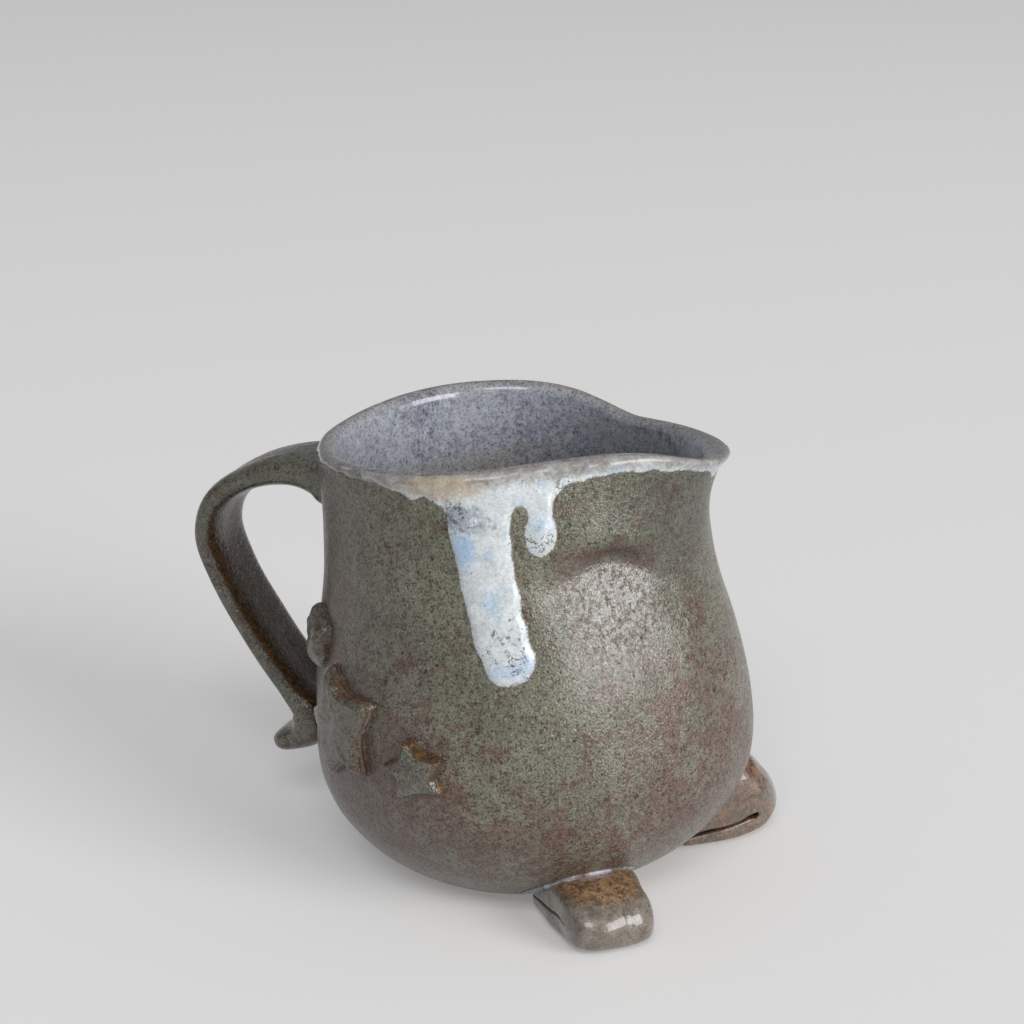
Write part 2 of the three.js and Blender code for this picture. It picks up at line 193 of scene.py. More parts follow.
# Lamps, in metres and watts: place, size, power and tone, and where they all aim
WINDOW = ((4.66, -1.51, 1.75), (2.8, 2.6), 156, (1.0, 0.995, 0.985))
ROOM = ((1.0, -3.5, 3.5), (2.2, 1.6), 56, (0.97, 0.985, 1.0))
LAMP_AIM = np.array([0.0, 0.0, 0.05])

# Floor and surroundings: the paper as seen and mirrored, its glow there, and the paper as it bounces light
PAPER_REACH = 8
PAPER_SEEN = (0.9, 0.89, 0.88, 1)
PAPER_GLOW = (0.19, 0.19, 0.19, 1)
PAPER_BOUNCE = (0.5, 0.49, 0.48, 1)
NO_GLOW = (0, 0, 0, 1)
SKY_TONE = (0.86, 0.87, 0.9, 1)
SKY_STRENGTH = 0.28


def bell(distance, width):
    return np.exp(-((distance / width) ** 2))


def smooth(low, high, value):
    share = np.clip((value - low) / (high - low), 0, 1)
    return share * share * (3 - 2 * share)


def spots(listed, angle, along):
    """Soft spots added up; each has a strength, an angle, a place along, and its spread in both."""
    return sum(
        strength * bell(angle - at, wide) * bell(along - down, long)
        for strength, at, down, wide, long in listed
    )


def turns(count):
    """Angles once round, evenly spread."""
    return np.arange(count) * 2 * math.pi / count


def squared(turn, power):
    """A round section drawn towards a square: how far across and how deep, each from -1 to 1."""
    across = np.sign(np.cos(turn)) * np.abs(np.cos(turn)) ** power
    deep = np.sign(np.sin(turn)) * np.abs(np.sin(turn)) ** power
    return across, deep


def unit(ways):
    """The same directions, each one long."""
    return ways / np.maximum(np.linalg.norm(ways, axis=1), 1e-6)[:, None]


def waver(points, size, seed):
    """A smooth random swing of about one either way, in swells of a given size."""
    draw = np.random.default_rng(seed)
    total = np.zeros(len(points))
    for _ in range(9):
        way = draw.normal(size=points.shape[1])
        way *= draw.uniform(0.7, 1.5) * math.pi / size / np.linalg.norm(way)
        total += np.sin(points @ way + draw.uniform(0, 2 * math.pi))
    return total / 3


def shape_clay(points):
    """The hand's work on the thrown pot: raised sides, pulled spout, pinched neck and thumb dents."""
    x, y, z = points.T
    turn = np.arctan2(y, x)
    angle = np.degrees(turn)
    radius = np.hypot(x, y)
    top = RIM_HEIGHT + LIP / 2
    upper = np.clip((z - top + SHAPED_DEPTH) / SHAPED_DEPTH, 0, 1.1) ** 2
    spout = np.clip((z - top + SPOUT_DEPTH) / SPOUT_DEPTH, 0, 1.1) ** 2
    far = bell(np.maximum(0, angle - FAR_WING_FROM), FAR_WING)
    wing = np.where(angle < 0, bell(angle, NEAR_WING), far)
    pinched = bell(np.abs(angle) - PINCH_AT, PINCH_ANGLE)
    turned = np.abs(angle) - DENT_AT
    across = np.radians(turned) * BELLY_RADIUS
    along = np.minimum(z - DENT_HEIGHT, 0) / DENT_LENGTH
    peak = DENT_HEIGHT - DENT_ARCH * (np.abs(angle) - DENT_PEAK) ** 2 + 0.9 * waver(points, 9, 5)
    above = np.maximum(z - peak, 0)
    flatness = np.where(turned > 0, DENT_FADING, DENT_FLATNESS)
    flattened = DENT * np.maximum(1 + along, 0) ** 1.4 - flatness * across**2 / (2 * BELLY_RADIUS)
    dented = DENT_EDGE * np.log1p(np.exp(flattened / DENT_EDGE))
    dented *= bell(above, DENT_ABOVE * (1 + (turned / DENT_SIDE) ** 2))
    out = SPOUT_REACH * bell(angle, SPOUT_ANGLE) * spout - PINCH * pinched * upper - dented
    out += HAND_WAVER * (waver(points, 26, 4) + 0.45 * waver(points, 9, 6)) * smooth(4, 16, z)
    out *= radius / RIM_RADIUS
    from_swell = 180 - np.abs(np.abs(angle - SWELL_AT) - 180)
    rise = upper * (RIM_SWELL * bell(from_swell, SWELL_ANGLE) - SPOUT_DIP * wing)
    return np.stack([x + out * np.cos(turn), y + out * np.sin(turn), z + rise], 1)


def wall_line(set_in, lip_set_in, bottom, start_radius, steps):
    """Outline of the wall from the bottom to the rim, as radius and height."""
    belly = BELLY_RADIUS - set_in
    depth = (BELLY_HEIGHT - bottom) / math.sqrt(1 - (start_radius / belly) ** 2)
    a = np.linspace(-math.acos(start_radius / belly), 0, steps)
    bowl = np.stack([belly * np.cos(a), BELLY_HEIGHT + depth * np.sin(a)], 1)
    rise = RIM_HEIGHT - BELLY_HEIGHT
    corners = np.array([
        (belly, BELLY_HEIGHT),
        (belly, BELLY_HEIGHT + rise * SHOULDER_SHARE),
        (NECK_RADIUS - lip_set_in, BELLY_HEIGHT + rise * NECK_SHARE),
        (RIM_RADIUS - lip_set_in, RIM_HEIGHT),
    ])
    t = np.linspace(0, 1, steps)[1:, None]
    weights = ((1 - t) ** 3, 3 * (1 - t) ** 2 * t, 3 * (1 - t) * t**2, t**3)
    return np.concatenate([bowl, sum(w * c for w, c in zip(weights, corners))])


def lip_line(steps):
    a = np.linspace(0, math.pi, steps)
    middle = RIM_RADIUS - LIP / 2
    return np.stack([middle + LIP / 2 * np.cos(a), RIM_HEIGHT + LIP_RISE * np.sin(a)], 1)


# The pot's skin in one line: up the outside, over the lip and down the inside to the floor
outside = wall_line(0, 0, 0, BASE_RADIUS, LINE_STEPS)
lip = lip_line(LIP_STEPS)
inside = wall_line(WALL, LIP, FLOOR, 0, LINE_STEPS)[::-1]
skin = np.concatenate([outside, lip[1:], inside[1:]])
skin_along = np.concatenate([[0], np.cumsum(np.hypot(*np.diff(skin, axis=0).T))])
RIM_ALONG = skin_along[len(outside) - 1]
CREST_ALONG = skin_along[len(outside) - 1 + LIP_STEPS // 2]
INNER_ALONG = 2 * CREST_ALONG - RIM_ALONG
FLOOR_ALONG = skin_along[-1] - 1.5
slope = np.gradient(skin, skin_along, axis=0)
skin_out = np.stack([slope[:, 1], -slope[:, 0]], 1) / np.hypot(*slope.T)[:, None]


def on_skin(angle, along, lift):
    """Points of the shaped skin, at an angle round the pot, a distance along the line and a lift off it."""
    angle, along, lift = (a.ravel() for a in np.broadcast_arrays(np.radians(angle), along, lift))
    follow = lambda values: np.interp(along, skin_along, values)
    radius = follow(skin[:, 0]) + lift * follow(skin_out[:, 0])
    height = follow(skin[:, 1]) + lift * follow(skin_out[:, 1])
    radius = np.maximum(radius, 1e-3)
    return shape_clay(np.stack([radius * np.cos(angle), radius * np.sin(angle), height], 1))


def along_at(height):
    return np.interp(height, outside[:, 1], skin_along[: len(outside)])


def radius_at(height):
    return np.interp(height, outside[:, 1], outside[:, 0])


def stand(points):
    """From the pot's own frame to the part's: leant back, with the heel ground flat on the table."""
    x, y, z = points.T
    leant = np.stack([
        x * math.cos(LEAN) - z * math.sin(LEAN),
        y,
        x * math.sin(LEAN) + z * math.cos(LEAN),
    ], 1) + BASE_AT
    leant[:, 2] = np.maximum(leant[:, 2], 0)
    return leant


def through(points, shares):
    """A smooth line through points, evenly spread over shares from 0 to 1."""
    points = np.asarray(points, float)
    padded = np.concatenate([[2 * points[0] - points[1]], points, [2 * points[-1] - points[-2]]])
    place = np.clip(shares, 0, 1) * (len(points) - 1)
    first = np.minimum(place.astype(int), len(points) - 2)
    t = (place - first)[:, None]
    p0, p1, p2, p3 = (padded[first + k] for k in range(4))
    d0, d1, d2 = (np.sqrt(np.linalg.norm(b - a, axis=1))[:, None] for a, b in ((p0, p1), (p1, p2), (p2, p3)))
    m1 = ((p1 - p0) / d0 - (p2 - p0) / (d0 + d1) + (p2 - p1) / d1) * d1
    m2 = ((p2 - p1) / d1 - (p3 - p1) / (d1 + d2) + (p3 - p2) / d2) * d1
    return (
        p1 * (2 * t**3 - 3 * t**2 + 1) + m1 * (t**3 - 2 * t**2 + t)
        + p2 * (3 * t**2 - 2 * t**3) + m2 * (t**3 - t**2)
    )


def make_piece(name, points, faces, glaze, replaced, marks):
    """A smooth piece of the jug, with its marks stored on its points for the glaze to read."""
    mesh = bpy.data.meshes.new(name)
    mesh.from_pydata((points * MM).tolist(), [], faces)
    work = bmesh.new()
    work.from_mesh(mesh)
    bmesh.ops.recalc_face_normals(work, faces=work.faces)
    work.to_mesh(mesh)
    work.free()
    mesh.shade_smooth()
    for mark, values in marks.items():
        mesh.attributes.new(mark, "FLOAT", "POINT").data.foreach_set("value", np.asarray(values, np.float32))
    mesh.materials.append(glaze)
    piece = bpy.data.objects.new(name, mesh)
    bpy.context.scene.collection.objects.link(piece)
    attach(piece, "root")
    if replaced:
        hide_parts(*replaced)
    return piece


def ring_piece(name, rings, glaze, slot, replaced=(), **marks):
    """A closed piece through a row of rings, drawn together to a point at each end."""
    count, around, _ = rings.shape
    points = np.concatenate([rings.reshape(-1, 3), rings[[0, -1]].mean(1)])
    k = np.arange(around)
    after = (k + 1) % around
    faces = []
    for r in range(count - 1):
        low, high = r * around, (r + 1) * around
        faces += np.stack([low + k, low + after, high + after, high + k], 1).tolist()
    last = (count - 1) * around
    faces += np.stack([np.full(around, count * around), after, k], 1).tolist()
    faces += np.stack([np.full(around, count * around + 1), last + k, last + after], 1).tolist()
    full = {}
    for mark, values in marks.items():
        values = np.broadcast_to(values, (count, around))
        full[mark] = np.concatenate([values.ravel(), values[[0, -1]].mean(1)])
    return make_piece(name, points, faces, glaze, replaced, full)


class Reading:
    """A value that changes over a surface; arithmetic on it adds Math nodes to its glaze."""

    def __init__(self, glaze, socket):
        self.glaze = glaze
        self.socket = socket

    def math(self, operation, *values):
        sockets = dict(enumerate(values))
        return self.glaze.node("ShaderNodeMath", {"operation": operation}, sockets)

    def __add__(self, other):
        return self.math("ADD", self, other)

    def __sub__(self, other):
        return self.math("SUBTRACT", self, other)

    def __rsub__(self, other):
        return self.math("SUBTRACT", other, self)

    def __mul__(self, other):
        return self.math("MULTIPLY", self, other)

    def __neg__(self):
        return self.math("MULTIPLY", self, -1)

    __radd__ = __add__
    __rmul__ = __mul__

    def above(self, low, high):
        """0 below low and 1 above high, with a soft step between; the other way round if low is higher."""
        settings = {"interpolation_type": "SMOOTHSTEP"}
        flip = low > high
        sockets = {"Value": self, "From Min": min(low, high), "From Max": max(low, high)}
        step = self.glaze.node("ShaderNodeMapRange", settings, sockets)
        return 1 - step if flip else step

    def size(self):
        return self.math("ABSOLUTE", self)

    def held(self):
        return self.math("MINIMUM", self.math("MAXIMUM", self, 0), 1)

    def most(self, other):
        return self.math("MAXIMUM", self, other)


class Glaze:
    """A glaze's material, built from nodes."""

    def __init__(self, name):
        self.material = bpy.data.materials.new(name)
        self.material.use_nodes = True
        self.tree = self.material.node_tree
        self.shader = self.tree.nodes["Principled BSDF"]
        self.place = self.node("ShaderNodeTexCoord", out="Object")

    def node(self, kind, settings=None, sockets=None, out=0):
        made = self.tree.nodes.new(kind)
        for setting, value in (settings or {}).items():
            setattr(made, setting, value)
        for name, value in (sockets or {}).items():
            self.plug(made.inputs[name], value)
        return Reading(self, made.outputs[out])

    def plug(self, socket, value):
        if isinstance(value, Reading):
            self.tree.links.new(value.socket, socket)
        else:
            socket.default_value = value

    def mark(self, name):
        return self.node("ShaderNodeAttribute", {"attribute_name": name}, out="Fac")

    def stretched(self, x, y, z):
        sockets = {0: self.place, 1: (x, y, z)}
        return self.node("ShaderNodeVectorMath", {"operation": "MULTIPLY"}, sockets)

    def cloud(self, size, detail=2.0, rough=0.5, place=None, warp=0.0):
        """Soft noise around one half, in clouds of about a given size."""
        sockets = {
            "Vector": place or self.place, "Scale": 1 / (size * MM), "Detail": detail,
            "Roughness": rough, "Distortion": warp,
        }
        return self.node("ShaderNodeTexNoise", None, sockets)

    def specks(self, spacing, radius, share):
        """Uneven specks at about a given spacing and radius, in a share of the places."""
        fine = {"Vector": self.place, "Scale": 1 / (radius * MM)}
        swirl = self.node("ShaderNodeTexNoise", None, fine, out="Color")
        jolt = {0: swirl, 1: (radius * MM,) * 3, 2: self.place}
        place = self.node("ShaderNodeVectorMath", {"operation": "MULTIPLY_ADD"}, jolt)
        cell = self.node("ShaderNodeTexVoronoi", None, {"Vector": place, "Scale": 1 / (spacing * MM)})
        cell_colour = Reading(self, cell.socket.node.outputs["Color"])
        pick = self.node("ShaderNodeSeparateColor", None, {0: cell_colour})
        size = pick.above(1 - share, 1.15 - share) * (radius / spacing)
        return (size - cell).above(-0.03, 0.04)

    def blend(self, share, low, high):
        settings = {"data_type": "RGBA", "clamp_factor": True}
        return self.node("ShaderNodeMix", settings, {0: share, 6: low, 7: high}, out=2)

    def shade(self, colour, by):
        """A colour made lighter or darker by a value around one."""
        grey = self.node("ShaderNodeCombineColor", None, {0: by, 1: by, 2: by})
        settings = {"data_type": "RGBA", "blend_type": "MULTIPLY"}
        return self.node("ShaderNodeMix", settings, {0: 1.0, 6: colour, 7: grey}, out=2)

    def bump(self, height, depth):
        """Relief of the surface: height from 0 to 1 stands for a depth."""
        self.plug(self.shader.inputs["Normal"], self.node(
            "ShaderNodeBump", None, {"Height": height, "Distance": depth * MM, "Strength": 1.0},
        ))

    def finish(self, **values):
        for name, value in values.items():
            self.plug(self.shader.inputs[name.replace("_", " ").title().replace("Ior", "IOR")], value)
        return self.material


def tint(red, green, blue):
    """A colour as seen on screen, from 0 to 255, as the linear colour that nodes take."""
    def linear(part):
        part /= 255
        return part / 12.92 if part <= 0.04045 else ((part + 0.055) / 1.055) ** 2.4
    return (linear(red), linear(green), linear(blue), 1.0)


OLIVE = tint(108, 109, 91)
PALE_OLIVE = tint(126, 126, 109)
PALE_FLECK = tint(166, 164, 148)
BROWN_FLECK = tint(98, 76, 62)
DARK_FLECK = tint(52, 45, 38)
RUST = tint(114, 76, 62)
WORN_BROWN = tint(114, 95, 88)
IRON = tint(24, 20, 18)
AMBER = tint(144, 102, 58)
DARK_AMBER = tint(54, 37, 27)
LILAC = tint(182, 185, 193)
DUSK = tint(122, 126, 143)
SAND = tint(160, 156, 150)
FROST = tint(196, 201, 209)
LIP_TAN = tint(138, 126, 117)
LIP_GREY = tint(160, 155, 152)
CREAM = tint(231, 237, 240)
ASH = tint(222, 227, 227)
SKY = tint(180, 211, 243)
MILK = tint(240, 244, 247)
SLATE = tint(112, 126, 144)
OCHRE = tint(206, 188, 164)
EDGE_TAN = tint(122, 108, 90)
CRAWL = tint(40, 40, 44)
BARE_CLAY = tint(150, 120, 94)
FOOT_GREY = tint(110, 99, 87)
FOOT_PALE = tint(148, 138, 126)
FOOT_AMBER = tint(170, 132, 90)
FOOT_BROWN = tint(84, 58, 38)
FOOT_RUSSET = tint(150, 106, 74)
FOOT_MAROON = tint(70, 43, 32)
GLOSSY_IOR = 1.6


def stoneware(name, thin=0.0, dark=1.0, wet=0.0):
    """The olive glaze: cloudy grey-green, rust where it is thin, iron specks and a pebbled shine, darkened by
    painted shade where a piece marks it.
    """
    glaze = Glaze(name)
    rust = glaze.mark("rust")
    edge = glaze.mark("edge")
    bare = glaze.mark("bare")
    dim = glaze.mark("dim")
    pressed = glaze.mark("pressed")
    drift = glaze.cloud(18, 3, 0.55)
    patch = glaze.cloud(5.6, 5, 0.68, warp=0.5)
    fleck = glaze.cloud(1.3, 3, 0.65)
    grain = glaze.cloud(0.45, 1, 0.6)
    chaff = glaze.cloud(0.7, 3, 0.75, warp=0.4)
    colour = glaze.blend(drift.above(0.36, 0.64), OLIVE, PALE_OLIVE)
    colour = glaze.blend(chaff.above(0.53, 0.68) * 0.55, colour, PALE_FLECK)
    brown = (patch * 0.5 + fleck * 0.5 + rust * 0.04).above(0.46, 0.64)
    colour = glaze.blend(brown * 0.5, colour, BROWN_FLECK)
    rusted = (patch * 0.62 + fleck * 0.24 + grain * 0.14 + rust * 0.09 + thin).above(0.51, 0.67)
    colour = glaze.blend(rusted * 0.8, colour, RUST)
    colour = glaze.blend((rust * 0.3).most(pressed * 0.35).held(), colour, WORN_BROWN)
    broken = (edge + (fleck - 0.5) * 1.2).above(0.35, 0.75)
    amber = glaze.blend((grain * 0.25 + fleck * 0.75).above(0.4, 0.64), DARK_AMBER, AMBER)
    colour = glaze.blend(broken * 0.9, colour, amber)
    pepper = (grain * 0.55 + fleck * 0.45).above(0.5, 0.64)
    colour = glaze.blend(pepper * 0.7, colour, DARK_FLECK)
    cloudy = (grain - 0.5) * 1.9 + (fleck - 0.5) * 0.6 + (patch - 0.5) * 0.5
    # Painted shade: the colour is made darker where the piece's painted-shade mark says so
    colour = glaze.shade(colour, (1.03 - cloudy) * (1 - dim) * dark)
    iron = glaze.specks(3.0, 0.38, 0.5)
    dust = glaze.specks(0.95, 0.18, 0.4)
    blot = glaze.specks(5.0, 0.6, 0.36)
    colour = glaze.blend(blot * 0.8, colour, IRON)
    colour = glaze.blend((iron * 0.92).most(dust * 0.6), colour, IRON)
    colour = glaze.blend(bare, colour, glaze.shade(BARE_CLAY, 0.7 + grain * 0.6))
    pebble = glaze.cloud(1.1, 2, 0.5)
    swell = glaze.cloud(4.5, 2, 0.5)
    glint = (fleck * 0.6 + pebble * 0.4).above(0.42, 0.56)
    glaze.bump(pebble * (0.9 + pressed * 0.7) + swell * (0.9 + pressed * 1.6) - grain * 0.8, 0.2)
    roughness = 0.32 + (grain - 0.5) * 0.4 - broken * 0.16 - pressed * (0.04 + glint * 0.2) - wet + bare * 0.4
    coat = 0.12 + pressed * (glint * 1.2 - 0.22)
    return glaze.finish(
        base_color=colour, roughness=roughness.held(), ior=GLOSSY_IOR,
        coat_weight=coat.held(), coat_roughness=0.22,
    )


def liner_coat():
    """The lining: lilac grey, specked where it is thin and streaked below the rim, tan over the lip, with
    painted shade deep inside on the spout's side.
    """
    glaze = Glaze("liner_glaze")
    over = glaze.mark("over")
    spout = glaze.mark("spout")
    grain = glaze.cloud(0.6, 2, 0.65)
    patch = glaze.cloud(3.4, 4, 0.62)
    drift = glaze.cloud(14, 2, 0.5)
    streak = glaze.cloud(1.5, 3, 0.6, place=glaze.stretched(1, 1, 0.18))
    deep = (-over).above(6, 24)
    mottle = glaze.cloud(1.5, 4, 0.7)
    colour = glaze.blend((mottle * 0.6 + drift * 0.4).above(0.3, 0.58), DUSK, LILAC)
    sandy = (deep * (1 - spout) + (patch - 0.5) * 0.8).above(0.3, 0.9)
    colour = glaze.blend(sandy * 0.8, colour, SAND)
    colour = glaze.blend(grain.above(0.5, 0.62) * 0.4, colour, DUSK)
    band = (-over).above(1.5, 4.5) * (-over).above(15, 7)
    colour = glaze.blend(band * streak.above(0.45, 0.66) * 0.4, colour, FROST)
    worn = (over + (patch - 0.5) * 3.5).above(-3.0, 0.4)
    colour = glaze.blend(worn * 0.85, colour, glaze.blend(patch.above(0.4, 0.6), LIP_TAN, LIP_GREY))
    cloudy = 0.97 + (grain - 0.5) * 2.4 + (mottle - 0.5) * 0.8
    # Painted shade: deep inside, the spout's side of the lining is darkened
    colour = glaze.shade(colour, cloudy * (1 - spout * deep * 0.62))
    dust = glaze.specks(0.75, 0.18, 0.6)
    colour = glaze.blend(dust * 0.5, colour, CRAWL)
    glaze.bump(glaze.cloud(2.6, 2, 0.5) + grain * 0.15, 0.07)
    roughness = 0.1 + grain * 0.14
    return glaze.finish(base_color=colour, roughness=roughness.held(), coat_weight=0.5)


def overflow_coat():
    """The thick pale glaze: cream with sky-blue pools, ochre where it thins, black crawl marks."""
    glaze = Glaze("overflow_glaze")
    depth = glaze.mark("depth")
    drop = glaze.mark("drop")
    ochre = glaze.mark("ochre")
    blue = glaze.mark("blue")
    crawl = glaze.mark("crawl")
    slate = glaze.mark("slate")
    bubbled = glaze.mark("bubbled")
    grain = glaze.cloud(0.6, 3, 0.7)
    fleck = glaze.cloud(1.0, 3, 0.7)
    patch = glaze.cloud(2.4, 4, 0.65, warp=0.4)
    pool = glaze.cloud(4.2, 0, 0.4)
    colour = glaze.blend(patch.above(0.36, 0.62), ASH, CREAM)
    pooled = (pool + (fleck - 0.5) * 0.25).above(0.56, 0.8) * 0.55
    deep_blue = (blue + (fleck - 0.5) * 1.4).above(0.3, 1.0) * 0.85
    colour = glaze.blend(pooled.most(deep_blue), colour, SKY)
    slaty = (slate + bubbled * 0.5 + (fleck - 0.5) * 1.8).above(0.4, 0.9)
    colour = glaze.blend(slaty * 0.55, colour, SLATE)
    bubbles = glaze.specks(2.6, 0.95, 0.6) * bubbled
    colour = glaze.blend(bubbles * 0.75, colour, MILK)
    thin = (drop + (patch - 0.5) * 4).above(1.2, -1.6)
    colour = glaze.blend(thin * 0.8, colour, glaze.blend(patch.above(0.38, 0.62), LIP_TAN, LIP_GREY))
    hazy = (ochre + (fleck - 0.5) * 1.5 + (patch - 0.5) * 0.6).above(0.3, 0.8)
    colour = glaze.blend(hazy * 0.75, colour, OCHRE)
    frayed = depth + (grain - 0.5) * 1.1 + (patch - 0.5) * 0.7
    colour = glaze.blend(frayed.above(1.0, 0.4) * 0.5, colour, CREAM)
    colour = glaze.blend(frayed.above(0.45, 0.05) * 0.9, colour, EDGE_TAN)
    colour = glaze.shade(colour, 1 + (grain - 0.5) * 0.9 + (patch - 0.5) * 0.3)
    wander = glaze.cloud(2.0, 4, 0.7, warp=1.2)
    fray = glaze.cloud(1.8, 2, 0.5)
    line = (wander - 0.5).size().above(0.03, 0.01)
    marks = line * (crawl + (fray - 0.5) * 3).above(0.55, 0.65)
    colour = glaze.blend(marks * 0.92, colour, CRAWL)
    dust = glaze.specks(1.6, 0.22, 0.3)
    colour = glaze.blend(dust * 0.55, colour, CRAWL)
    glaze.bump(patch * 0.6 + pool * 0.8 - marks * 0.6, 0.1)
    roughness = 0.2 + grain * 0.14 + marks * 0.3
    return glaze.finish(base_color=colour, roughness=roughness.held(), coat_weight=0.35)


def foot_glaze(name, amber_share, light_amber, dark_amber):
    """The feet's glaze: olive grey that breaks to amber brown on the crown, with a wet shine and painted
    shade in the slit of the fold.
    """
    glaze = Glaze(name)
    crown = glaze.mark("crown")
    fold = glaze.mark("fold")
    patch = glaze.cloud(3.0, 4, 0.65)
    fleck = glaze.cloud(1.3, 4, 0.7)
    grain = glaze.cloud(0.6, 3, 0.7)
    colour = glaze.blend(patch.above(0.35, 0.65), FOOT_GREY, FOOT_PALE)
    warm = (crown * 0.85 + (patch - 0.5) * 1.1 + amber_share).above(0.35, 0.85)
    amber = glaze.blend((fleck * 0.75 + grain * 0.25).above(0.38, 0.58), dark_amber, light_amber)
    colour = glaze.blend(warm * 0.85, colour, amber)
    # Painted shade: the fold's inner face, in the slit under the crown, is darkened
    colour = glaze.blend(fold * 0.65, colour, DARK_AMBER)
    colour = glaze.shade(colour, 1 + (grain - 0.5) * 1.5 + (fleck - 0.5) * 0.8)
    iron = glaze.specks(1.8, 0.32, 0.4)
    colour = glaze.blend(iron * 0.75, colour, IRON)
    glaze.bump(patch * 1.2 + fleck * 0.5 + grain * 0.15, 0.14)
    roughness = 0.18 + grain * 0.22
    return glaze.finish(
        base_color=colour, roughness=roughness.held(), ior=GLOSSY_IOR, coat_weight=0.7, coat_roughness=0.08,
    )


def bead_glaze():
    glaze = Glaze("joint_glaze")
    patch = glaze.cloud(2.2, 3, 0.6)
    colour = glaze.blend(patch.above(0.35, 0.65), FOOT_GREY, LILAC)
    roughness = 0.12 + patch * 0.12
    return glaze.finish(base_color=colour, roughness=roughness.held(), coat_weight=0.4)


def rust_marks(points):
    """Where the glaze on the outside runs thin and shows rust: in spots, at the heel and by the handle."""
    x, y, z = points.T
    angle = np.degrees(np.arctan2(y, x))
    rust = spots(RUST_SPOTS, angle, z) + 0.85 * smooth(46, 14, z) + 0.4 * bell(angle + 138, 34)
    for (at, height), size in STAR_RUST:
        away = np.hypot(np.radians(angle - at) * BELLY_RADIUS, z - height)
        rust += bell(away, size)
    return rust


def thrown_wall(glaze):
    """The clay pot: base, outer wall, lip and inner wall in one closed skin."""
    turn = np.radians(POT_ANGLES)
    ways = np.stack([np.cos(turn), np.sin(turn), 0 * turn], 1)
    base = np.linspace(0.08, 0.96, 10) * BASE_RADIUS
    rings = [r * ways for r in base]
    along = np.concatenate([
        np.linspace(0.3, RIM_ALONG, 104),
        np.linspace(RIM_ALONG, INNER_ALONG, 18)[1:],
        np.linspace(INNER_ALONG, FLOOR_ALONG, 74)[1:],
    ])
    rings += [on_skin(POT_ANGLES, a, 0) for a in along]
    rings = np.array(rings)
    flat = rings.reshape(-1, 3)
    grid = rings.shape[:2]
    bare = np.zeros(grid)
    bare[: len(base) + 1] = 1
    turned = np.degrees(np.arctan2(flat[:, 1], flat[:, 0]))
    height = flat[:, 2]
    wide = 11 + 8 * smooth(46, 66, height)
    pressed = bell(np.abs(turned) - DENT_AT, wide) * smooth(42, 62, height) * smooth(77, 73, height)
    # Painted shade: darker on the neck beside the spout, on the left side towards the handle, and a little in
    # the dent
    dim = 0.42 * bell(turned + 8, 32) * smooth(60, 78, height) + 0.2 * bell(turned + 140, 34)
    dim += 0.12 * pressed
    return ring_piece(
        "thrown_body_clay", stand(flat).reshape(rings.shape), glaze, "glazed_clay", ("thrown_body",),
        rust=rust_marks(flat).reshape(grid), bare=bare, dim=dim.reshape(grid), pressed=pressed.reshape(grid),
    )


def liner(glaze):
    """The lining coat: over the floor and inner wall, round the lip, to a wavering edge on its shoulder."""
    along = np.concatenate([
        np.linspace(FLOOR_ALONG, INNER_ALONG, 74),
        np.linspace(INNER_ALONG, CREST_ALONG - 4.6, 34)[1:],
    ])
    turn = np.radians(POT_ANGLES)
    ring_place = np.stack([np.cos(turn), np.sin(turn)], 1) * 40
    edge = 2.6 + 0.55 * waver(ring_place, 9, 11) + 0.3 * waver(ring_place, 3.2, 12)
    over = CREST_ALONG - along
    left = edge[None] - over[:, None]
    coat = np.where(over[:, None] < -6, 0.55, 0.42)
    lift = np.where(left > 0, coat * (1 - np.exp(-left / 0.5)), left * 0.8)
    lift = np.maximum(lift, -0.5)
    rings = [on_skin(POT_ANGLES, a, row) for a, row in zip(along, lift)]
    rings += [on_skin(POT_ANGLES, a, -0.7) for a in along[::-1]]
    rings = np.array(rings)
    flat = rings.reshape(-1, 3)
    # Nearness to the spout's side: there the lining is not sandy, and deep down it carries painted shade
    spout = bell(np.degrees(np.arctan2(flat[:, 1], flat[:, 0])), 55).reshape(rings.shape[:2])
    both = np.concatenate([over, over[::-1]])[:, None]
    stood = stand(flat).reshape(rings.shape)
    return ring_piece("liner_coat", stood, glaze, "pale_glaze", ("liner_glaze",), over=both, spout=spout)


def overflow_depth(across, drop):
    """How far a place lies inside the overflow's outline; across is in millimetres round the rim."""
    edge_at = np.array(OVERFLOW_EDGE, float)
    flat = np.stack([across.ravel(), drop.ravel()], 1)
    edge = np.interp(across / RIM_DEGREE, edge_at[:, 0], edge_at[:, 1])
    edge = edge + 0.28 * waver(flat[:, :1], 2.6, 21).reshape(drop.shape)
    depth = (edge - drop) * 0.85
    for run in (LONG_RUN, SHORT_RUN):
        line = through(np.array(run), np.linspace(0, 1, 60))
        reach = np.full(drop.shape, -99.0)
        for angle, down, radius in line:
            reach = np.maximum(reach, radius - np.hypot(across - angle * RIM_DEGREE, drop - down))
        web = 2.2
        mix = np.clip(0.5 + 0.5 * (depth - reach) / web, 0, 1)
        depth = reach * (1 - mix) + depth * mix + web * mix * (1 - mix)
    return depth + 0.16 * waver(flat, 3.4, 22).reshape(drop.shape)


